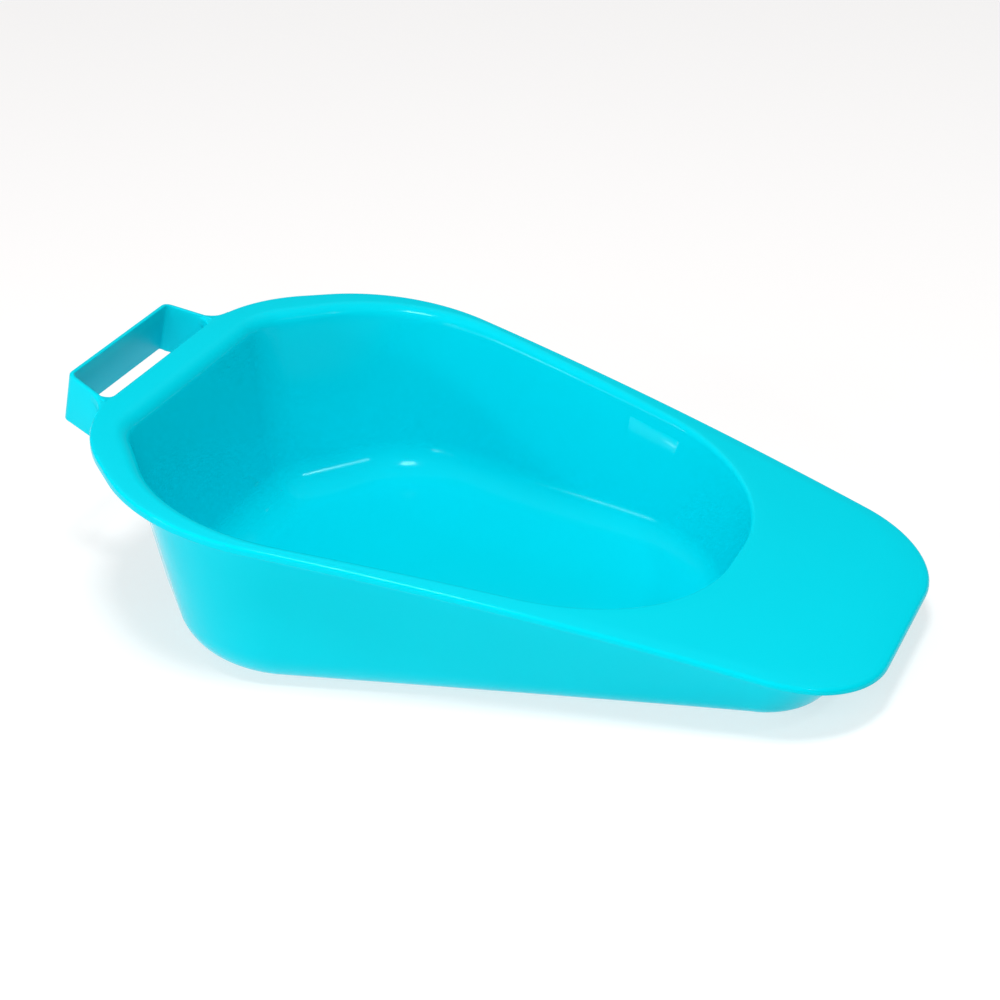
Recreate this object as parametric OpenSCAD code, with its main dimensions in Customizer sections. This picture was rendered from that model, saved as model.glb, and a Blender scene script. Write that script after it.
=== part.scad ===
// Slipper bedpan: a shallow one-piece moulded bowl with a sloping deck, tall at
// the handle end and low at the front, where a broad apron slides under the user.
// The origin is on the surface that it stands on, below the centre of its length.
// +X runs towards the low front, +Y across to the left side, +Z up.

/* [Deck] */
// Length of the deck, from the straight rear edge to the front edge
deck_len = 350; // [320:1:380]
// Height of the deck at the rear edge
rear_h = 93.4; // [84:0.1:100]
// Height of the deck at the front edge
front_h = 24; // [20:0.5:30]
// How far the deck bows up above a straight slope, at half its length
crown_h = 7; // [0:0.5:10]

/* [Moulding] */
// Wall thickness of the whole moulding
wall_t = 2.5; // [2:0.1:3]
// Width of the turned-down lip along the outer edge of the deck
lip_w = 3; // [2:0.1:4]
// Depth of the lip at the rear, from the deck's top face
lip_h = 4.5; // [3.5:0.1:6]
// Depth of the lip at the front
lip_front_h = 3; // [3:0.1:5]
// Step where the skirt starts on the side of the bowl
skirt_step = 0.3; // [0.2:0.1:0.5]

/* [Rim] */
// Half of the straight rear edge
rim_rear_half = 43.4; // [42:0.1:50]
// Radius of the rear corners
rim_rear_r = 73.5; // [65:0.5:80]
// Half of the straight front edge
rim_front_half = 32; // [25:0.5:38]
// Radius of the front corners
rim_front_r = 50; // [42:0.5:55]
// Radius of the sides where the rim is widest
rim_side_r = 81.4; // [75:0.1:85]
// Half of the greatest width
rim_half_w = 128.5; // [125:0.5:132]

/* [Bowl] */
// Width of the flange behind the bowl
rear_flange_w = 15.3; // [12:0.1:18]
// Radius of the bowl's rear corners, outside
bowl_rear_r = 34.9; // [30:0.1:38]
// Half of the bowl's greatest outside width
bowl_half_w = 120; // [116:0.5:122]
// Angle at which the bowl's sides close in towards the front
side_taper = 14.1; // [13:0.1:14.5]
// Front end of the bowl, outside, from the deck's rear edge
bowl_front_x = 276.5; // [265:0.5:285]
// Radius of the bowl's round front end, outside
bowl_front_r = 88.4; // [84:0.2:92]
// How far the bowl's foot is set in from its top at the rear
rear_draft = 13.3; // [10:0.1:15]
// How far the bowl's foot is set in from its top at the front
bowl_front_draft = 13.5; // [10:0.5:16]
// Half of the foot's greatest width
foot_half_w = 106.3; // [104:0.1:108]
// Bottom radius at the rear of the bowl
bottom_rear_r = 25.8; // [18:0.1:28]
// Bottom radius at the front of the skirt
bottom_front_r = 13; // [8:0.5:14]

/* [Skirt] */
// Front end of the skirt below the apron, from the deck's rear edge
skirt_front_x = 342; // [334:1:342]
// Corner radius of the skirt, at its top
skirt_front_r = 36; // [32:1:40]
// Front end of the skirt's foot
skirt_foot_x = 321; // [314:1:324]
// Corner radius of the skirt's foot
skirt_foot_r = 29; // [24:0.5:32]

/* [Handle] */
// Reach of the handle behind the deck, at its top edge
handle_reach = 21.8; // [20:0.2:30]
// How far the handle leans out from top to bottom
handle_lean = 5.2; // [0:0.1:6]
// Height of the handle's strap
handle_h = 22.5; // [16:0.1:24]
// Rise of the handle's top edge from the deck to the grip
handle_rise = 7.1; // [0:0.1:8]
// Half of the handle's width at the grip
handle_half_w = 44.3; // [38:0.1:45]
// How much further apart each arm is at the deck than at the grip
handle_flare = 6.5; // [0:0.5:6.5]
// Thickness of the strap
strap_t = 2.2; // [1.8:0.1:3]
// Radius of the strap's lower rear corners
strap_corner_r = 5; // [3:0.5:7]

/* [Hidden] */
turquoise = [0.0, 0.84, 0.92];
deck_turquoise = [0.05, 0.92, 0.97];
handle_turquoise = [0.04, 0.76, 0.87];
// Middle of the whole length, which becomes X = 0
x_mid = (deck_len - handle_reach - handle_lean) / 2;
// How far ahead of the rear corners' centres the arcs of the sides have theirs
rim_side_ahead = 15.4;
bowl_side_ahead = 47.7;
foot_side_ahead = 30.8;
// Half of the straight between the bowl's rear corners, at the top and at the foot
bowl_rear_half = 52.1;
foot_rear_half = 41.7;
// Distance of the side arcs' centres from the middle, at the top and at the foot
bowl_side_y = 41.4;
foot_side_y = 60.1;
// Radius of the foot's rear corners
foot_rear_r = 33.9;
// How far the foot's round front is behind the bowl's
foot_front_back = 3;
// How much deeper an arm is at the bowl's wall than at the grip
arm_drop = 13;
// Gap between the inside of the lip and the part of an arm that goes under the deck
lip_gap = 0.9;
// Steps around the rear corner and the side, and on the side line up to the bowl's front
n_corner = 18;
n_line = 5;
// Steps on the whole front, and how many of them still follow the side line of a long track
n_front = 14;
n_run = 8;
// Steps on a bottom radius
n_bottom = 6;
// Steps across the apron
n_apron = 5;

// --- Plan outlines: each is three circles, [x, y, radius], and their tangents -----
// A station is [x, y, a]: a point of an outline and the angle of the outline's normal there.

// Normal angle of the outer tangent from circle a to circle b
function tangent_angle(a, b) =
    let (dx = b[0] - a[0], dy = b[1] - a[1])
    atan2(dy, dx) + acos((a[2] - b[2]) / norm([dx, dy]));
function reach(c, a) = c[0] * cos(a) + c[1] * sin(a) + c[2];
function on_circle(c, a) = [c[0] + c[2] * cos(a), c[1] + c[2] * sin(a), a];
// The outermost of two circles at normal angle a
function on_outer(c, d, a) = on_circle(reach(c, a) > reach(d, a) ? c : d, a);
function grown(c, d) = [c[0], c[1], c[2] + d];
// A circle of radius r at x, touching the side line of circle c that closes in by taper
function side_circle(c, taper, x, r) =
    let (a = 90 - taper) [x, (reach(c, a) - r - x * cos(a)) / sin(a), r];
// Station at x on the side line between circles a and b
function side_station(a, b, x) =
    let (p = on_circle(a, tangent_angle(a, b)), q = on_circle(b, tangent_angle(a, b)))
    p + (q - p) * (x - p[0]) / (q[0] - p[0]);
// Stations of one half, from the middle of the rear edge to the middle of the front edge.
// The side line is split at x_split, and run of the front steps follow it past there.
function half_track(c, x_split, run) =
    let (side = tangent_angle(c[1], c[2]), p = on_circle(c[1], side),
         q = side_station(c[1], c[2], x_split), s = on_circle(c[2], side))
    concat(
        [[c[0][0] - c[0][2], 0, 180]],
        [for (i = [0:n_corner]) on_outer(c[0], c[1], 180 + (side - 180) * i / n_corner)],
        [for (i = [1:n_line]) p + (q - p) * i / n_line],
        [for (i = [1:1:run]) q + (s - q) * i / run],
        [for (i = [1:n_front - run]) on_circle(c[2], side * (1 - i / (n_front - run)))],
        [[c[2][0] + c[2][2], 0, 0]]);
// The whole loop: the half, then its mirror image back to the rear
function loop_of(half) =
    concat(half, [for (i = [len(half) - 2:-1:1]) [half[i][0], -half[i][1], -half[i][2]]]);

// --- The outlines of this moulding -------------------------------------------------

rim = [[rim_rear_r, rim_rear_half, rim_rear_r],
       [rim_rear_r + rim_side_ahead, rim_half_w - rim_side_r, rim_side_r],
       [deck_len - rim_front_r, rim_front_half, rim_front_r]];
top_1 = [rear_flange_w + bowl_rear_r, bowl_rear_half, bowl_rear_r];
top_2 = [top_1[0] + bowl_side_ahead, bowl_side_y, bowl_half_w - bowl_side_y];
bowl_top = [top_1, top_2, side_circle(top_2, side_taper, bowl_front_x - bowl_front_r, bowl_front_r)];
foot_1 = [rear_flange_w + rear_draft + foot_rear_r, foot_rear_half, foot_rear_r];
foot_2 = [foot_1[0] + foot_side_ahead, foot_side_y, foot_half_w - foot_side_y];
bowl_foot = [foot_1, foot_2, side_circle(foot_2, side_taper, bowl_top[2][0] - foot_front_back,
                                         bowl_front_r - bowl_front_draft + foot_front_back)];
skirt_top = [grown(top_1, skirt_step), grown(top_2, skirt_step),
             side_circle(grown(top_2, skirt_step), side_taper, skirt_front_x - skirt_front_r, skirt_front_r)];
skirt_foot = [grown(foot_1, skirt_step), grown(foot_2, skirt_step),
              side_circle(grown(foot_2, skirt_step), side_taper, skirt_foot_x - skirt_foot_r, skirt_foot_r)];

// Where the bowl's side lines end and its round front starts
top_split_x = on_circle(bowl_top[2], 90 - side_taper)[0];
foot_split_x = on_circle(bowl_foot[2], 90 - side_taper)[0];
rim_loop = loop_of(half_track(rim, top_split_x, n_run));
lip_loop = loop_of(half_track([for (c = rim) grown(c, -lip_w)], top_split_x, n_run));
bowl_top_loop = loop_of(half_track(bowl_top, top_split_x, 0));
bowl_foot_loop = loop_of(half_track(bowl_foot, foot_split_x, 0));
skirt_top_loop = loop_of(half_track(skirt_top, top_split_x, n_run));
skirt_foot_loop = loop_of(half_track(skirt_foot, foot_split_x, n_run));

n_loop = len(rim_loop);
// Stations where the bowl and the skirt part, on the left and on the right
k_left = 1 + n_corner + n_line;
k_right = n_loop - k_left;

// --- Heights and wall sections ----------------------------------------------------

function deck_z(x) =
    let (u = x / deck_len) rear_h + (front_h - rear_h) * u + 4 * crown_h * u * (1 - u);
function at_deck(p, drop) = [p[0], p[1], deck_z(p[0]) - drop];
function lip_drop(x) = lip_h + (lip_front_h - lip_h) * x / deck_len;
function bottom_r(x) = bottom_rear_r + (bottom_front_r - bottom_rear_r) * min(x, skirt_foot_x) / skirt_foot_x;
// Section of a wall from its top to its foot: points at depth d inside the outer face,
// from the top down to the flat bottom, in the plane of the outline's normal
function wall_section(top, foot, d) =
    let (n = [cos(top[2]), sin(top[2])], inset = (top[0] - foot[0]) * n[0] + (top[1] - foot[1]) * n[1],
         h = deck_z(top[0]) - wall_t, draft = atan(inset / h),
         r = bottom_r(foot[0]), back = r / tan((90 + draft) / 2))
    concat(
        [inwards(top, n, d / cos(draft), h)],
        [for (i = [0:n_bottom]) let (a = draft + (90 - draft) * i / n_bottom)
            inwards(foot, n, back - (r - d) * cos(a), r - (r - d) * sin(a))]);
function inwards(p, n, s, z) = [p[0] - n[0] * s, p[1] - n[1] * s, z];
// Edge of the opening, where the inside of the wall reaches the deck's top face
function mouth_point(i) =
    let (inside = bowl_inside(i), slope = (inside[0] - inside[1]) / (inside[0][2] - inside[1][2]),
         p = inside[0] + slope * wall_t)
    [p[0], p[1]];
function bowl_outside(i) = wall_section(bowl_top_loop[i], bowl_foot_loop[i], 0);
function bowl_inside(i) = wall_section(bowl_top_loop[i], bowl_foot_loop[i], wall_t);
// The skirt's inner face keeps the wall's thickness, or lies on the bowl where they are close
function skirt_outside(i) = wall_section(skirt_top_loop[i], skirt_foot_loop[i], 0);
function skirt_inside(i) =
    let (out = skirt_outside(i), thick = wall_section(skirt_top_loop[i], skirt_foot_loop[i], wall_t),
         bowl = bowl_outside(i), a = skirt_top_loop[i][2], gap = out[0] - bowl[0])
    gap[0] * cos(a) + gap[1] * sin(a) < wall_t ? bowl : thick;

// --- Solids -----------------------------------------------------------------------

function reversed(v) = [for (i = [len(v) - 1:-1:0]) v[i]];
// A solid through sections of m points each: a ring when closed, else capped. A section goes
// out along one face of a wall and back along the other, so point j is across from m - 1 - j.
module loft(sections, closed) {
    n = len(sections);
    m = len(sections[0]);
    sides = [for (i = [0:(closed ? n - 1 : n - 2)], j = [0:m - 1], k = [0, 1])
        let (a = i * m + j, b = i * m + (j + 1) % m,
             c = ((i + 1) % n) * m + j, d = ((i + 1) % n) * m + (j + 1) % m)
        k == 0 ? [a, b, d] : [a, d, c]];
    last = (n - 1) * m;
    caps = closed ? [] : [for (j = [0:m / 2 - 2], k = [0:3])
        let (a = j, b = j + 1, c = m - 2 - j, d = m - 1 - j)
        k == 0 ? [a, c, b] : k == 1 ? [a, d, c] : k == 2 ? [last + a, last + b, last + c]
        : [last + a, last + c, last + d]];
    polyhedron([for (s = sections) each s], concat(sides, caps), convexity = 8);
}

module bowl_floor() {
    color(turquoise)
    linear_extrude(wall_t) polygon([for (i = [0:n_loop - 1])
        let (p = bowl_outside(i)[n_bottom + 1]) [p[0], p[1]]]);
}

module bowl_wall() {
    color(turquoise)
    loft([for (i = [0:n_loop - 1]) concat(bowl_outside(i), reversed(bowl_inside(i)))], true);
}

module apron_skirt() {
    color(turquoise)
    loft([for (i = [k_left:k_right]) concat(skirt_outside(i), reversed(skirt_inside(i)))], false);
}

// Deck from the lip to the mouth at station i, with n steps across its top
function deck_section(i, n) =
    let (edge = [lip_loop[i][0], lip_loop[i][1]], mouth = mouth_point(i), top = bowl_inside(i)[0],
         inner = [top[0], top[1]])
    concat(
        [for (j = [0:n]) at_deck(edge + (mouth - edge) * j / n, 0)],
        [for (j = [n:-1:0]) at_deck(edge + (inner - edge) * j / n, wall_t)]);

module rim_flange() {
    color(deck_turquoise)
    loft([for (i = [k_right:n_loop + k_left]) deck_section(i % n_loop, 1)], false);
}

module front_apron() {
    color(deck_turquoise)
    loft([for (i = [k_left:k_right]) deck_section(i, n_apron)], false);
}

module rim_lip() {
    color(deck_turquoise)
    loft([for (i = [0:n_loop - 1]) [at_deck(rim_loop[i], 0), at_deck(lip_loop[i], 0),
          at_deck(lip_loop[i], lip_drop(lip_loop[i][0])),
          at_deck(rim_loop[i], lip_drop(rim_loop[i][0]))]], true);
}

// Top edge of the handle at x, which is negative behind the deck
function handle_z(x) = rear_h - handle_rise * min(x, 0) / handle_reach;
grip_top = [-handle_reach, handle_z(-handle_reach)];
grip_low = [-handle_reach - handle_lean, handle_z(-handle_reach) - handle_h];

// The outside of an arm at x
function arm_y(x) = handle_half_w + handle_flare * (1 + x / handle_reach);

// The grip ends on the inner faces of the two arms
module handle_grip() {
    across = [strap_t, -handle_rise / handle_reach * strap_t];
    side = [grip_top, grip_low, grip_low + across, grip_top + across];
    color(handle_turquoise)
    polyhedron([for (e = [-1, 1], p = side) [p[0], e * (arm_y(p[0]) - strap_t), p[1]]],
               [[0, 1, 2, 3], [7, 6, 5, 4], [0, 4, 5, 1], [1, 5, 6, 2], [2, 6, 7, 3], [3, 7, 4, 0]]);
}

// Side view of an arm: from the grip, under the lip and the flange, to the bowl's rear wall
module arm_side() {
    wall_x = rear_flange_w;
    wall_z = deck_z(wall_x) - wall_t;
    arm_low_z = grip_low[1] - arm_drop;
    low_x = wall_x + rear_draft * (1 - arm_low_z / wall_z);
    difference() {
        polygon([grip_top, grip_low, [low_x, arm_low_z], [wall_x, wall_z],
                 [lip_w + lip_gap, deck_z(lip_w + lip_gap) - wall_t],
                 [lip_w + lip_gap, deck_z(lip_w) - lip_drop(lip_w)],
                 [0, rear_h - lip_h], [0, rear_h]]);
        translate(grip_low) difference() {
            square(2 * strap_corner_r, center = true);
            translate([strap_corner_r, strap_corner_r]) circle(strap_corner_r, $fn = 48);
            translate([strap_corner_r, -strap_corner_r]) square(4 * strap_corner_r);
            translate([-2 * strap_corner_r, strap_corner_r]) square(4 * strap_corner_r);
        }
    }
}

// An arm with its outer face at arm_y; side is 1 on the left and -1 on the right
module handle_arm(side) {
    outer = arm_y(0);
    color(handle_turquoise)
    multmatrix([[1, 0, 0, 0], [side * handle_flare / handle_reach, 1, 0, 0], [0, 0, 1, 0]])
    translate([0, side * (outer - strap_t / 2) + strap_t / 2, 0])
    rotate([90, 0, 0]) linear_extrude(strap_t) arm_side();
}

module handle_arm_left() {
    handle_arm(1);
}

module handle_arm_right() {
    handle_arm(-1);
}

translate([-x_mid, 0, 0]) {
    bowl_floor();
    bowl_wall();
    apron_skirt();
    rim_flange();
    front_apron();
    rim_lip();
    handle_grip();
    handle_arm_left();
    handle_arm_right();
}
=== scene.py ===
"""Glossy turquoise slipper bedpan: one moulding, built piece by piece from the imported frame."""
import math

import bmesh
import bpy
import numpy as np
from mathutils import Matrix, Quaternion, Vector


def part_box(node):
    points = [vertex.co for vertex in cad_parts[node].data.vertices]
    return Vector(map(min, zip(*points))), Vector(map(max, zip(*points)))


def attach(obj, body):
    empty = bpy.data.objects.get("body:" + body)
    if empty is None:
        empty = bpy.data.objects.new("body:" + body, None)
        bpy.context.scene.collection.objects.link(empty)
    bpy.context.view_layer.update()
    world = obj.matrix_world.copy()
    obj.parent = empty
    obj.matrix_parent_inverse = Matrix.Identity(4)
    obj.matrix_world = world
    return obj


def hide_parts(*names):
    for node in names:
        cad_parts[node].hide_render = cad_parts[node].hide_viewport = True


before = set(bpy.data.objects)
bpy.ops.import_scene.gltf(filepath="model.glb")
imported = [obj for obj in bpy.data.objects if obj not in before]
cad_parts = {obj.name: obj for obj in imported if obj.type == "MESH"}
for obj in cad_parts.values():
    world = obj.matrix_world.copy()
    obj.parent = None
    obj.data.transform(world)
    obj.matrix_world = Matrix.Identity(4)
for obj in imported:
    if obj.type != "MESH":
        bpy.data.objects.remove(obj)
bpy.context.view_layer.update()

MM = 0.001

# --- Sizes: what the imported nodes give, then the radii of the moulding -----------------------

lip_low, lip_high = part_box("rim_lip")
REAR_X = lip_low.x
DECK_LEN = lip_high.x - lip_low.x
RIM_HALF_W = lip_high.y
REAR_H = lip_high.z
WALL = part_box("bowl_floor")[1].z
BOWL_HALF_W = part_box("bowl_wall")[1].y
REAR_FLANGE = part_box("bowl_wall")[0].x - REAR_X
BOWL_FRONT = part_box("bowl_wall")[1].x - REAR_X
SKIRT_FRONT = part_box("apron_skirt")[1].x - REAR_X
LIP_H = 4.5 * MM              # depth of the lip at the rear and at the front
LIP_FRONT_H = 3 * MM
FRONT_H = lip_low.z + LIP_FRONT_H
LIP_W = 3 * MM
CROWN = 7 * MM

RIM_REAR_HALF = 43.4 * MM
RIM_REAR_R = 73.5 * MM
RIM_SIDE_R = 81.4 * MM
RIM_SIDE_AHEAD = 15.4 * MM    # how far a side circle lies in front of the rear one
RIM_FRONT_HALF = 32 * MM
RIM_FRONT_R = 50 * MM
BOWL_REAR_R = 34.9 * MM
BOWL_REAR_HALF = 52.1 * MM
BOWL_SIDE_Y = 41.4 * MM
BOWL_SIDE_AHEAD = 47.7 * MM
BOWL_FRONT_R = 88.4 * MM
SIDE_TAPER = math.radians(14.1)
REAR_DRAFT = 13.3 * MM
BOWL_FRONT_DRAFT = 13.5 * MM
FOOT_HALF_W = 106.3 * MM
FOOT_REAR_R = 33.9 * MM
FOOT_REAR_HALF = 41.7 * MM
FOOT_SIDE_Y = 60.1 * MM
FOOT_SIDE_AHEAD = 30.8 * MM
FOOT_FRONT_BACK = 3 * MM
BOTTOM_REAR_R = 25.8 * MM
BOTTOM_FRONT_R = 13 * MM
SKIRT_FRONT_R = 36 * MM
SKIRT_FOOT = 321 * MM
SKIRT_FOOT_R = 29 * MM

MOUTH_REAR_R = 7.5 * MM       # rounding of the opening's edge, behind and in front
MOUTH_FRONT_R = 1.6 * MM
EDGE_R = 1.5 * MM             # rounding of the lip's top edge
LIP_LOW_R = 0.9 * MM
UNDER_REAR_R = 5 * MM         # fillet between the deck's underside and the walls
UNDER_FRONT_R = 2 * MM
SEAM_DEPTH = 8 * MM           # how far the deck pieces reach down inside the opening
FLOOR_SEAM = 6 * MM           # how far the wall piece reaches past its bottom radius
DROOP_W = 14 * MM             # the deck rolls down a little towards its edge
DROOP_REAR = 0.2 * MM
DROOP_FRONT = 0.8 * MM
HIDDEN_GAP = 1.2 * MM         # the bowl's outer face stays this far inside the skirt's
SKIRT_SKIN = 1.6 * MM         # how far the skirt's inner face lies behind the bowl's outer face
TUCK = 0.3 * MM               # how far a wall's top reaches up into the deck
CREASE = math.radians(32)     # edges sharper than this stay sharp in the shading

# Steps along the outline: rear corner and side, side line, front, and its straight run
N_CORNER, N_LINE, N_FRONT, N_RUN = 60, 18, 64, 30
# Steps across the sections
N_BOTTOM, N_ROUND, N_DECK, N_WALL = 16, 8, 14, 3


# --- Plan outlines: three circles (x, y, radius) and their tangents ---------------------------

def tangent_angle(a, b):
    dx, dy = b[0] - a[0], b[1] - a[1]
    return math.atan2(dy, dx) + math.acos((a[2] - b[2]) / math.hypot(dx, dy))


def reach(c, a):
    return c[0] * math.cos(a) + c[1] * math.sin(a) + c[2]


def on_circle(c, a):
    return np.array([c[0] + c[2] * math.cos(a), c[1] + c[2] * math.sin(a), a])


def side_circle(c, x, r):
    """A circle of radius r at x that touches the side line of circle c."""
    a = math.pi / 2 - SIDE_TAPER
    return x, (reach(c, a) - r - x * math.cos(a)) / math.sin(a), r


# Fractions of the side line, with one extra station just past the joint of bowl and skirt
JOINT_STEP = N_LINE - 3
JOINT_WIDTH = 0.0006          # of the side line's length
LINE = [(i + 1) / N_LINE for i in range(N_LINE)]
LINE.insert(JOINT_STEP, LINE[JOINT_STEP - 1] + JOINT_WIDTH)
JOINT = 1 + N_CORNER + JOINT_STEP


def outline(c, x_split, run):
    """Stations (x, y, normal angle) of the whole loop, from the rear middle round the left side."""
    side = tangent_angle(c[1], c[2])
    p, s = on_circle(c[1], side), on_circle(c[2], side)
    q = p + (s - p) * (x_split - p[0]) / (s[0] - p[0])
    half = [np.array([c[0][0] - c[0][2], 0, math.pi])]
    for i in range(N_CORNER + 1):
        a = math.pi + (side - math.pi) * i / N_CORNER
        half.append(on_circle(c[0] if reach(c[0], a) > reach(c[1], a) else c[1], a))
    half += [p + (q - p) * f for f in LINE]
    half += [q + (s - q) * (i + 1) / run for i in range(run)]
    turn = N_FRONT - run
    half += [on_circle(c[2], side * (1 - (i + 1) / turn)) for i in range(turn)]
    half.append(np.array([c[2][0] + c[2][2], 0, 0]))
    half = np.array(half)
    back = half[-2:0:-1] * [1, -1, -1]
    return np.vstack([half, back])


rim = [(RIM_REAR_R, RIM_REAR_HALF, RIM_REAR_R),
       (RIM_REAR_R + RIM_SIDE_AHEAD, RIM_HALF_W - RIM_SIDE_R, RIM_SIDE_R),
       (DECK_LEN - RIM_FRONT_R, RIM_FRONT_HALF, RIM_FRONT_R)]
top_1 = (REAR_FLANGE + BOWL_REAR_R, BOWL_REAR_HALF, BOWL_REAR_R)
top_2 = (top_1[0] + BOWL_SIDE_AHEAD, BOWL_SIDE_Y, BOWL_HALF_W - BOWL_SIDE_Y)
bowl_top = [top_1, top_2, side_circle(top_2, BOWL_FRONT - BOWL_FRONT_R, BOWL_FRONT_R)]
foot_1 = (REAR_FLANGE + REAR_DRAFT + FOOT_REAR_R, FOOT_REAR_HALF, FOOT_REAR_R)
foot_2 = (foot_1[0] + FOOT_SIDE_AHEAD, FOOT_SIDE_Y, FOOT_HALF_W - FOOT_SIDE_Y)
bowl_foot = [foot_1, foot_2, side_circle(foot_2, bowl_top[2][0] - FOOT_FRONT_BACK,
                                         BOWL_FRONT_R - BOWL_FRONT_DRAFT + FOOT_FRONT_BACK)]
skirt_top = [top_1, top_2, side_circle(top_2, SKIRT_FRONT - SKIRT_FRONT_R, SKIRT_FRONT_R)]
skirt_foot = [foot_1, foot_2, side_circle(foot_2, SKIRT_FOOT - SKIRT_FOOT_R, SKIRT_FOOT_R)]

top_split = on_circle(bowl_top[2], math.pi / 2 - SIDE_TAPER)[0]
foot_split = on_circle(bowl_foot[2], math.pi / 2 - SIDE_TAPER)[0]
rim_track = outline(rim, top_split, N_RUN)
bowl_top_track = outline(bowl_top, top_split, 0)
bowl_foot_track = outline(bowl_foot, foot_split, 0)
skirt_top_track = outline(skirt_top, top_split, N_RUN)
skirt_foot_track = outline(skirt_foot, foot_split, N_RUN)
STATIONS = len(rim_track)


# --- Surfaces -----------------------------------------------------------------------------------

def normals(track):
    return np.stack([np.cos(track[:, 2]), np.sin(track[:, 2])], 1)


def deck_z(x):
    u = x / DECK_LEN
    return REAR_H + (FRONT_H - REAR_H) * u + 4 * CROWN * u * (1 - u)


def deck_points(plan, s, drop=0.0):
    """Points of the deck's top, or drop below it, at distance s from the rim's edge."""
    u = np.clip(plan[:, 0] / DECK_LEN, 0, 1)
    roll = DROOP_REAR + (DROOP_FRONT - DROOP_REAR) * u ** 2
    z = deck_z(plan[:, 0]) - roll * np.clip(1 - s / DROOP_W, 0, 1) ** 2 - drop
    return np.column_stack([plan, z])


def unit(v):
    return v / np.linalg.norm(v, axis=1, keepdims=True)


def lifted(plan, z):
    return np.column_stack([plan, np.broadcast_to(z, len(plan))])


def rounded(corner, e1, e2, radius, steps):
    """Rows of a round that joins direction e1, which arrives at the corner, to e2, which leaves it."""
    cosine = np.clip((e1 * e2).sum(1), -1, 1)
    turn = np.arccos(cosine)[:, None]
    radius = np.broadcast_to(radius, len(corner))[:, None]
    lead = radius * np.tan(turn / 2)
    start, end = corner - e1 * lead, corner + e2 * lead
    centre = corner + unit(e2 - e1) * radius / np.cos(turn / 2)
    return [centre + (np.sin((1 - t) * turn) * (start - centre) + np.sin(t * turn) * (end - centre))
            / np.sin(turn) for t in np.linspace(0, 1, steps + 1)]


def wall_rows(top, foot, depth):
    """Rows at depth inside a wall's outer face: its top, then its bottom radius, then flat."""
    n = normals(top)
    depth = np.broadcast_to(depth, len(top))
    h = deck_z(top[:, 0]) - WALL
    draft = np.arctan(((top - foot)[:, :2] * n).sum(1) / h)
    ahead = np.minimum(foot[:, 0], SKIRT_FOOT) / SKIRT_FOOT
    r = BOTTOM_REAR_R + (BOTTOM_FRONT_R - BOTTOM_REAR_R) * ahead
    back = r / np.tan((math.pi / 2 + draft) / 2)
    rows = [lifted(top[:, :2] - n * (depth / np.cos(draft))[:, None], h)]
    for t in np.linspace(0, 1, N_BOTTOM + 1):
        a = draft + (math.pi / 2 - draft) * t
        inward = back - (r - depth) * np.cos(a)
        rows.append(lifted(foot[:, :2] - n * inward[:, None], r - (r - depth) * np.sin(a)))
    rows.append(lifted(foot[:, :2] - n * (back + FLOOR_SEAM)[:, None], depth))
    return rows


def between(a, b, steps):
    """Rows strictly between rows a and b."""
    return [a + (b - a) * t for t in np.linspace(0, 1, steps + 2)[1:-1]]


def outer_face(top, foot, depth=0.0):
    """A wall's outer face from its fillet below the deck to the flat bottom."""
    rows = wall_rows(top, foot, depth)
    n = normals(top)
    inward, down = -np.column_stack([n, np.zeros(len(n))]), unit(rows[1] - rows[0])
    u = np.clip(top[:, 0] / DECK_LEN, 0, 1)
    fillet = rounded(rows[0], inward, down, UNDER_REAR_R + (UNDER_FRONT_R - UNDER_REAR_R) * u, N_ROUND)
    tucked = fillet[0] + [0, 0, TUCK]
    return [tucked] + fillet + between(fillet[-1], rows[1], N_WALL) + rows[1:]


# --- Meshes ---------------------------------------------------------------------------------------

def shell(name, sections, closed, slot, *nodes):
    """A closed mesh through sections of equal length, capped where the loop of sections is open."""
    sections = np.asarray(sections)
    n, m = sections.shape[:2]
    faces = [[i * m + j, i * m + (j + 1) % m, (i + 1) % n * m + (j + 1) % m, (i + 1) % n * m + j]
             for i in range(n if closed else n - 1) for j in range(m)]
    if not closed:
        faces += [list(range(m))[::-1], [(n - 1) * m + j for j in range(m)]]
    return piece(name, sections.reshape(-1, 3) + [REAR_X, 0, 0], faces, slot, *nodes)


def piece(name, points, faces, slot, *nodes):
    """A smooth-shaded piece that rides on the moulding and stands for the given CAD nodes."""
    mesh = bpy.data.meshes.new(name)
    mesh.from_pydata([tuple(p) for p in points], [], faces)
    bm = bmesh.new()
    bm.from_mesh(mesh)
    bmesh.ops.recalc_face_normals(bm, faces=bm.faces)
    for face in bm.faces:
        face.smooth = True
    for edge in bm.edges:
        edge.smooth = len(edge.link_faces) == 2 and edge.calc_face_angle() < CREASE
    bm.to_mesh(mesh)
    bm.free()
    obj = bpy.data.objects.new(name, mesh)
    bpy.context.scene.collection.objects.link(obj)
    mesh.materials.append(PLASTIC)
    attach(obj, "root")
    if nodes:
        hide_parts(*nodes)
    return obj


def sections_of(rows, stations=None):
    """Rows along the outline, turned into one section for each station."""
    stack = np.stack(rows, 1)
    return stack if stations is None else stack[stations]


# --- Plastic ----------------------------------------------------------------------------------------

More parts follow.
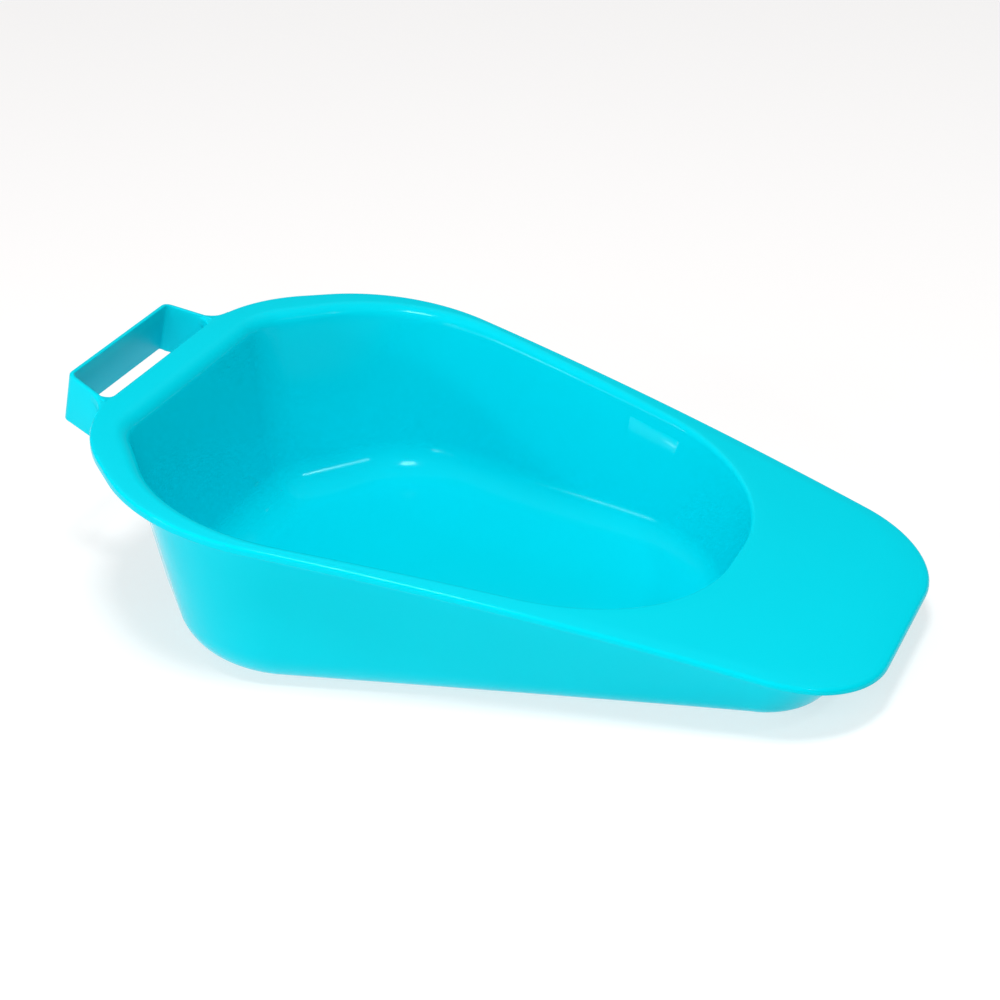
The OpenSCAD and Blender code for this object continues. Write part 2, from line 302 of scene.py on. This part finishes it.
def plastic():
    """Glossy moulded polypropylene: faint flow marks, a scuffed foot, a handle dulled by hands."""
    mat = bpy.data.materials.new("turquoise_plastic")
    mat.use_nodes = True
    nodes, links = mat.node_tree.nodes, mat.node_tree.links
    shader = nodes["Principled BSDF"]
    shader.inputs["IOR"].default_value = 1.17
    shader.inputs["Specular Tint"].default_value = (0.5, 0.95, 1.0, 1.0)
    where = nodes.new("ShaderNodeTexCoord")

    def noise(scale, detail, stretch=(1, 1, 1)):
        turned = nodes.new("ShaderNodeMapping")
        turned.inputs["Scale"].default_value = stretch
        links.new(where.outputs["Object"], turned.inputs["Vector"])
        tex = nodes.new("ShaderNodeTexNoise")
        tex.inputs["Scale"].default_value = scale
        tex.inputs["Detail"].default_value = detail
        links.new(turned.outputs["Vector"], tex.inputs["Vector"])
        return tex.outputs["Fac"]

    def ramp(value, low, high, out_low, out_high):
        node = nodes.new("ShaderNodeMapRange")
        for key, number in zip(("From Min", "From Max", "To Min", "To Max"), (low, high, out_low, out_high)):
            node.inputs[key].default_value = number
        links.new(value, node.inputs["Value"])
        return node.outputs["Result"]

    def add(a, b):
        node = nodes.new("ShaderNodeMath")
        node.operation = "ADD"
        links.new(a, node.inputs[0])
        links.new(b, node.inputs[1])
        return node.outputs[0]

    flow = noise(9, 3, (1, 0.5, 0.5))
    tint = nodes.new("ShaderNodeMix")
    tint.data_type = "RGBA"
    tint.inputs["A"].default_value = (0.0, 0.61, 0.735, 1)
    tint.inputs["B"].default_value = (0.0, 0.64, 0.765, 1)
    links.new(ramp(flow, 0.3, 0.7, 0, 1), tint.inputs["Factor"])
    links.new(tint.outputs["Result"], shader.inputs["Base Color"])

    split = nodes.new("ShaderNodeSeparateXYZ")
    links.new(where.outputs["Object"], split.inputs["Vector"])
    smudges = ramp(noise(38, 4), 0.35, 0.75, 0.09, 0.15)
    scuffed = ramp(split.outputs["Z"], 4 * MM, 0, 0, 0.16)
    handled = ramp(split.outputs["X"], REAR_X + 3 * MM, REAR_X - 4 * MM, 0, 0.3)
    links.new(add(add(smudges, scuffed), handled), shader.inputs["Roughness"])

    fine = nodes.new("ShaderNodeBump")
    fine.inputs["Strength"].default_value = 0.10
    fine.inputs["Distance"].default_value = 0.05 * MM
    links.new(noise(1500, 2), fine.inputs["Height"])
    broad = nodes.new("ShaderNodeBump")
    broad.inputs["Strength"].default_value = 0.25
    broad.inputs["Distance"].default_value = 0.6 * MM
    links.new(noise(22, 2), broad.inputs["Height"])
    links.new(fine.outputs["Normal"], broad.inputs["Normal"])
    links.new(broad.outputs["Normal"], shader.inputs["Normal"])
    return mat


PLASTIC = plastic()


# --- The bowl ------------------------------------------------------------------------------------

inside = wall_rows(bowl_top_track, bowl_foot_track, WALL)
down_wall = unit(inside[1] - inside[0])
mouth = inside[0] - down_wall * (WALL / -down_wall[:, 2:])
mouth_xy = mouth[:, :2]
lip_xy = rim_track[:, :2] - normals(rim_track) * LIP_W
mouth_s = np.linalg.norm(mouth_xy - rim_track[:, :2], axis=1)
towards = -normals(bowl_top_track)
mouth = deck_points(mouth_xy, mouth_s)
along_deck = unit(mouth - deck_points(mouth_xy - towards * MM, mouth_s - MM))
mouth_seam = mouth + down_wall * SEAM_DEPTH
skirt_gap = ((skirt_top_track - bowl_top_track)[:, :2] * normals(skirt_top_track)).sum(1)


def build_bowl():
    """The drafted wall: behind the skirt its outer face steps in, and its foot stays flat."""
    front = np.zeros(STATIONS, bool)
    front[JOINT + 1:STATIONS - JOINT] = True
    depth = np.where(front, np.clip(HIDDEN_GAP - skirt_gap, 0, None), 0)
    outside = outer_face(bowl_top_track, bowl_foot_track, depth)
    for row in outside[-2:]:
        row[:, 2] = 0
    inner = [mouth_seam] + between(mouth_seam, inside[1], N_WALL) + inside[1:]
    shell("bowl_wall", sections_of(outside + inner[::-1]), True, "bowl", "bowl_wall")
    build_floor(inside[-1], outside[-1])


def build_floor(top_edge, low_edge):
    """The flat bottom: rings of its top and underside that close in on the middle."""
    rings = 8
    points, faces = [], []
    for edge, sign in ((top_edge, 1), (low_edge, -1)):
        centre = np.array([(edge[:, 0].min() + edge[:, 0].max()) / 2, 0, edge[0, 2]])
        first = len(points)
        for k in range(rings):
            points += list(centre + (edge - centre) * (1 - k / rings))
        points.append(centre)
        for k in range(rings - 1):
            for i in range(STATIONS):
                a, b = first + k * STATIONS + i, first + k * STATIONS + (i + 1) % STATIONS
                faces.append([a, b, b + STATIONS, a + STATIONS][::sign])
        last = first + (rings - 1) * STATIONS
        faces += [[last + i, last + (i + 1) % STATIONS, len(points) - 1][::sign] for i in range(STATIONS)]
    low = rings * STATIONS + 1
    faces += [[low + i, low + (i + 1) % STATIONS, (i + 1) % STATIONS, i] for i in range(STATIONS)]
    piece("bowl_floor", np.array(points) + [REAR_X, 0, 0], faces, "bowl", "bowl_floor")


def build_skirt():
    """The outer wall below the apron, open to the hollow behind it."""
    outside = outer_face(skirt_top_track, skirt_foot_track)[:-1]
    within = wall_rows(skirt_top_track, skirt_foot_track, np.minimum(skirt_gap + SKIRT_SKIN, WALL))[:-1]
    within[0] = within[0] + [0, 0, TUCK]
    stations = list(range(JOINT, STATIONS - JOINT + 1))
    shell("apron_skirt", sections_of(outside + within[::-1], stations), False, "bowl", "apron_skirt")


# --- The deck --------------------------------------------------------------------------------------

def deck_rows():
    """From the lip's inner line across the deck, over the mouth's edge and down, then back below."""
    u = np.clip(mouth_xy[:, 0] / BOWL_FRONT, 0, 1)
    radius = MOUTH_REAR_R + (MOUTH_FRONT_R - MOUTH_REAR_R) * u ** 1.5
    edge = rounded(mouth, along_deck, down_wall, radius, N_ROUND)
    start_xy = edge[0][:, :2]
    rows = []
    for t in np.linspace(0, 1, N_DECK)[:-1]:
        plan = lip_xy + (start_xy - lip_xy) * t
        rows.append(deck_points(plan, np.linalg.norm(plan - rim_track[:, :2], axis=1)))
    rows += edge + [mouth_seam]
    wall_top = lifted(bowl_top_track[:, :2], deck_z(bowl_top_track[:, 0]) - WALL)
    rows += [wall_top, deck_points(lip_xy, LIP_W, WALL)]
    return rows


def build_deck():
    """The flange round the rear and sides, and the apron in front, from one set of rows."""
    rows = deck_rows()
    rear = [i % STATIONS for i in range(STATIONS - JOINT, STATIONS + JOINT + 1)]
    front = list(range(JOINT, STATIONS - JOINT + 1))
    shell("rim_flange", sections_of(rows, rear), False, "deck", "rim_flange")
    shell("front_apron", sections_of(rows, front), False, "deck", "front_apron")


def arc(cx, cy, r, start, end, steps):
    angles = np.radians(np.linspace(start, end, steps + 1))
    return [(cx + r * math.cos(a), cy + r * math.sin(a)) for a in angles]


def build_lip():
    """The turned-down edge: rounds at its top, and at both corners of its foot."""
    n = normals(rim_track)
    depth = LIP_H + (LIP_FRONT_H - LIP_H) * rim_track[:, 0] / DECK_LEN
    section = [(s, drop, 0) for s, drop in [(LIP_W, 0)] + arc(EDGE_R, EDGE_R, EDGE_R, 270, 180, N_ROUND)]
    section += [(s, drop, 1) for s, drop in arc(LIP_LOW_R, -LIP_LOW_R, LIP_LOW_R, 180, 90, N_ROUND)
                + arc(LIP_W - LIP_LOW_R, -LIP_LOW_R, LIP_LOW_R, 90, 0, N_ROUND)]
    section.append((LIP_W, WALL - LIP_LOW_R, 0))
    rows = [deck_points(rim_track[:, :2] - n * s, s, drop + depth * at_foot) for s, drop, at_foot in section]
    shell("rim_lip", sections_of(rows), True, "deck", "rim_lip")


# --- The handle ------------------------------------------------------------------------------------

grip_low, grip_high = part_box("handle_grip")
STRAP = 2.2 * MM
FLARE = 6.5 * MM
LEAN = grip_high.x - grip_low.x - STRAP
REACH = REAR_X - grip_high.x + STRAP
SPREAD = FLARE / REACH
GRIP_HALF_W = grip_high.y + STRAP - SPREAD * STRAP
RISE = grip_high.z - REAR_H
ARM_FALL = 0.283              # slope of the arms' lower edges
HANDLE_CORNER_R = 5 * MM
STRAP_EDGE_R = 0.7 * MM
STRAP_LOW_R = 0.9 * MM
WEB_OUT_R = 16 * MM
WEB_IN_R = 5 * MM
RIM_TURN = 0.14               # how far the rim's edge leans forward where the arms meet it
ROOT_LEAN = 0.9               # an arm's end follows the bowl's draft, in leans of the grip
REAR_SKIN = 1.4 * MM          # an arm's top is this far below the deck's top where it goes under it


def strap_top(x):
    """The strap's top edge: level with the deck where it joins, rising to the grip."""
    return REAR_H - RISE * x / REACH if x < 0 else deck_z(x) - REAR_SKIN


def strap_low(x):
    return grip_low.z - ARM_FALL * max(x + REACH + LEAN, 0)


def strap_section():
    """(depth in from the outer face, height from the top or from the bottom, is it at the bottom)."""
    e, low = STRAP_EDGE_R, STRAP_LOW_R
    top = arc(e, -e, e, 180, 90, 4) + arc(STRAP - e, -e, e, 90, 0, 4)
    bottom = arc(STRAP - low, low, low, 0, -90, 4) + arc(low, low, low, -90, -180, 4)
    return [(s, z, 0) for s, z in top] + [(s, z, 1) for s, z in bottom]


def strap(name, path, node):
    """Sweeps the strap along (x, y, normal x, normal y, lean, lean across) of its outer face's top."""
    sections = []
    for x, y, nx, ny, lean, across in path:
        top, low_x = strap_top(x), x - LEAN * lean
        low = strap_low(low_x)
        row = []
        for inward, z, at_bottom in strap_section():
            height = (low if at_bottom else top) + z
            out = LEAN * lean * (top - height) / (top - low)
            row.append((x - nx * inward - out, y - ny * inward - across * out, height))
        sections.append(row)
    return shell(name, sections, False, "handle", node)


def arm_y(x):
    return GRIP_HALF_W + SPREAD * (x + REACH)


def arm_path(side):
    """From the bowl's wall, out along the arm, round the corner and onto the grip."""
    r, length = HANDLE_CORNER_R, math.hypot(1, SPREAD)
    n = (-SPREAD / length, 1 / length)
    start = math.atan2(n[1], n[0])
    cx = -REACH + r
    cy = arm_y(cx) - r * length
    bend_x = cx + r * n[0]
    xs = [8 * MM, 2 * MM, 0.1 * MM, -0.1 * MM] + list(np.linspace(-3 * MM, bend_x + MM, 5))
    path = [(REAR_FLANGE - MM, side * arm_y(REAR_FLANGE - MM), n[0], side * n[1], -ROOT_LEAN, side * SPREAD)]
    path += [(x, side * arm_y(x), n[0], side * n[1], max(0, -x / REACH), side * SPREAD) for x in xs]
    for t in np.linspace(0, 1, 13):
        a = start + (math.pi - start) * t
        path.append((cx + r * math.cos(a), side * (cy + r * math.sin(a)), math.cos(a), side * math.sin(a),
                     1, side * SPREAD * (1 - t)))
    path.append((-REACH, side * GRIP_END, -1, 0, 1, 0))
    return path


GRIP_END = GRIP_HALF_W - HANDLE_CORNER_R - 4 * MM


def corner_fillet(corner, towards_a, towards_b, r, steps):
    """A fillet of radius r in a corner between two edges, from the first to the second."""
    a, b = (np.array(v) / np.linalg.norm(v) for v in (towards_a, towards_b))
    half = math.acos(np.dot(a, b)) / 2
    middle = (a + b) / np.linalg.norm(a + b)
    centre = np.array(corner) + middle * r / math.sin(half)
    start, end = (np.array(corner) + v * r / math.tan(half) - centre for v in (a, b))
    turn = math.pi - 2 * half
    return [tuple(centre + (math.sin((1 - t) * turn) * start + math.sin(t * turn) * end) / math.sin(turn))
            for t in np.linspace(0, 1, steps + 1)]


def build_web(name, side):
    """Fills the corners where an arm meets the rim's edge, level with the deck."""
    over = 6 * MM                 # how far the web reaches in over the rim
    along = (-1, -SPREAD)
    y_out, y_in = arm_y(0), arm_y(0) - STRAP * math.hypot(1, SPREAD)
    outer = corner_fillet((0.3 * MM, y_out), along, (RIM_TURN, 1), WEB_OUT_R, 12)
    inner = corner_fillet((0, y_in), (0, -1), along, WEB_IN_R, 12)
    plan = outer + [(over, outer[-1][1] + MM), (over, inner[0][1] - MM)] + inner
    corner = np.array(plan) * [1, side]
    ring = []
    for inset, below in [(0, LIP_H)] + arc(EDGE_R, EDGE_R, EDGE_R, 180, 270, 6):
        pts = inset_polygon(corner, inset)
        top = [REAR_H - RISE * x / REACH if x < 0 else deck_z(x) for x in pts[:, 0]]
        ring.append(np.column_stack([pts, np.array(top) - below - DROOP_REAR]))
    n = len(corner)
    faces = [[k * n + i, k * n + (i + 1) % n, (k + 1) * n + (i + 1) % n, (k + 1) * n + i]
             for k in range(len(ring) - 1) for i in range(n)]
    faces += [list(range(n))[::-1], [(len(ring) - 1) * n + i for i in range(n)]]
    piece(name, np.vstack(ring) + [REAR_X, 0, 0], faces, "handle")


def inset_polygon(points, d):
    """The polygon moved inwards by d, each corner along its mitre."""
    ahead = np.roll(points, -1, 0) - points
    edge_n = unit(np.stack([-ahead[:, 1], ahead[:, 0]], 1))
    area = (points[:, 0] * np.roll(points[:, 1], -1) - np.roll(points[:, 0], -1) * points[:, 1]).sum()
    edge_n *= math.copysign(1, area)
    a, b = np.roll(edge_n, 1, 0), edge_n
    return points + (a + b) / np.maximum(1 + (a * b).sum(1, keepdims=True), 0.4) * d


def build_handle():
    """The bar, and on each side an arm and the web that blends it into the rim."""
    bar = [(-REACH, y, -1, 0, 1, 0) for y in np.linspace(GRIP_END, -GRIP_END, 9)]
    strap("handle_grip", bar, "handle_grip")
    for word, side in (("left", 1), ("right", -1)):
        strap("handle_arm_" + word, arm_path(side), "handle_arm_" + word)
        build_web("handle_web_" + word, side)


build_bowl()
build_skirt()
build_deck()
build_lip()
build_handle()


# --- Stage -----------------------------------------------------------------------------------------

def aim(obj, target):
    obj.rotation_mode = "QUATERNION"
    obj.rotation_quaternion = (target - obj.location).to_track_quat("-Z", "Y")


def around(centre, azimuth, elevation, distance):
    """A place seen from centre at an azimuth (0 is in front, at -Y) and an elevation, in degrees."""
    a, e = math.radians(azimuth), math.radians(elevation)
    return centre + Vector((math.sin(a) * math.cos(e), -math.cos(a) * math.cos(e), math.sin(e))) * distance


def add_camera():
    """A long lens from the pan's front right, above it, turned a little about its axis."""
    data = bpy.data.cameras.new("camera")
    data.lens = 90
    cam = bpy.data.objects.new("camera", data)
    bpy.context.scene.collection.objects.link(cam)
    target = Vector((REAR_X + 167.2 * MM, -3.3 * MM, 52 * MM))
    cam.location = around(target, 22.7, 26.8, 1.094)
    aim(cam, target)
    cam.rotation_quaternion = cam.rotation_quaternion @ Quaternion((0, 0, 1), math.radians(-1.05))
    cam.data.clip_start = 0.01
    bpy.context.scene.camera = cam


def add_light(name, azimuth, elevation, distance, size, power):
    """A rectangular light that faces the pan: degrees, metres and watts."""
    data = bpy.data.lights.new(name, "AREA")
    data.shape = "RECTANGLE"
    data.size, data.size_y = size
    data.energy = power
    light = bpy.data.objects.new(name, data)
    bpy.context.scene.collection.objects.link(light)
    centre = Vector((0, 0, 40 * MM))
    light.location = around(centre, azimuth, elevation, distance)
    aim(light, centre)


def add_floor():
    """A pale floor with a little light of its own, just below the pan's foot."""
    mesh = bpy.data.meshes.new("floor")
    size = 6
    corners = [(-size, -size, 0), (size, -size, 0), (size, size, 0), (-size, size, 0)]
    mesh.from_pydata(corners, [], [(0, 1, 2, 3)])
    floor = bpy.data.objects.new("floor", mesh)
    bpy.context.scene.collection.objects.link(floor)
    mat = bpy.data.materials.new("floor_white")
    mat.use_nodes = True
    shader = mat.node_tree.nodes["Principled BSDF"]
    shader.inputs["Base Color"].default_value = (0.4, 0.385, 0.38, 1)
    shader.inputs["Roughness"].default_value = 0.9
    shader.inputs["Specular IOR Level"].default_value = 0.1
    shader.inputs["Emission Color"].default_value = (1, 1, 1, 1)
    shader.inputs["Emission Strength"].default_value = 0.63
    mesh.materials.append(mat)
    floor.location.z = -0.1 * MM


def add_world():
    """A white surround, dim near the horizon and bright overhead."""
    world = bpy.data.worlds.new("studio")
    world.use_nodes = True
    background = world.node_tree.nodes["Background"]
    background.inputs["Color"].default_value = (1, 1, 1, 1)
    nodes, links = world.node_tree.nodes, world.node_tree.links
    where, split = nodes.new("ShaderNodeTexCoord"), nodes.new("ShaderNodeSeparateXYZ")
    height = nodes.new("ShaderNodeMapRange")
    links.new(where.outputs["Generated"], split.inputs["Vector"])
    links.new(split.outputs["Z"], height.inputs["Value"])
    for key, value in (("From Min", 0.5), ("From Max", 0.8), ("To Min", 0.1), ("To Max", 0.62)):
        height.inputs[key].default_value = value
    links.new(height.outputs["Result"], background.inputs["Strength"])
    bpy.context.scene.world = world
    bpy.context.scene.view_settings.view_transform = "Standard"


add_camera()
add_floor()
add_world()
add_light("front", -30, 14, 2.2, (1.8, 1.0), 16)
add_light("key", 20, 68, 1.6, (0.3, 0.3), 16)
add_light("window", -46, 20, 1.8, (0.3, 0.08), 3)
add_light("lamp", -11, 24, 1.8, (0.2, 0.08), 2)
add_light("side", 80, 38, 1.8, (0.12, 0.12), 3)
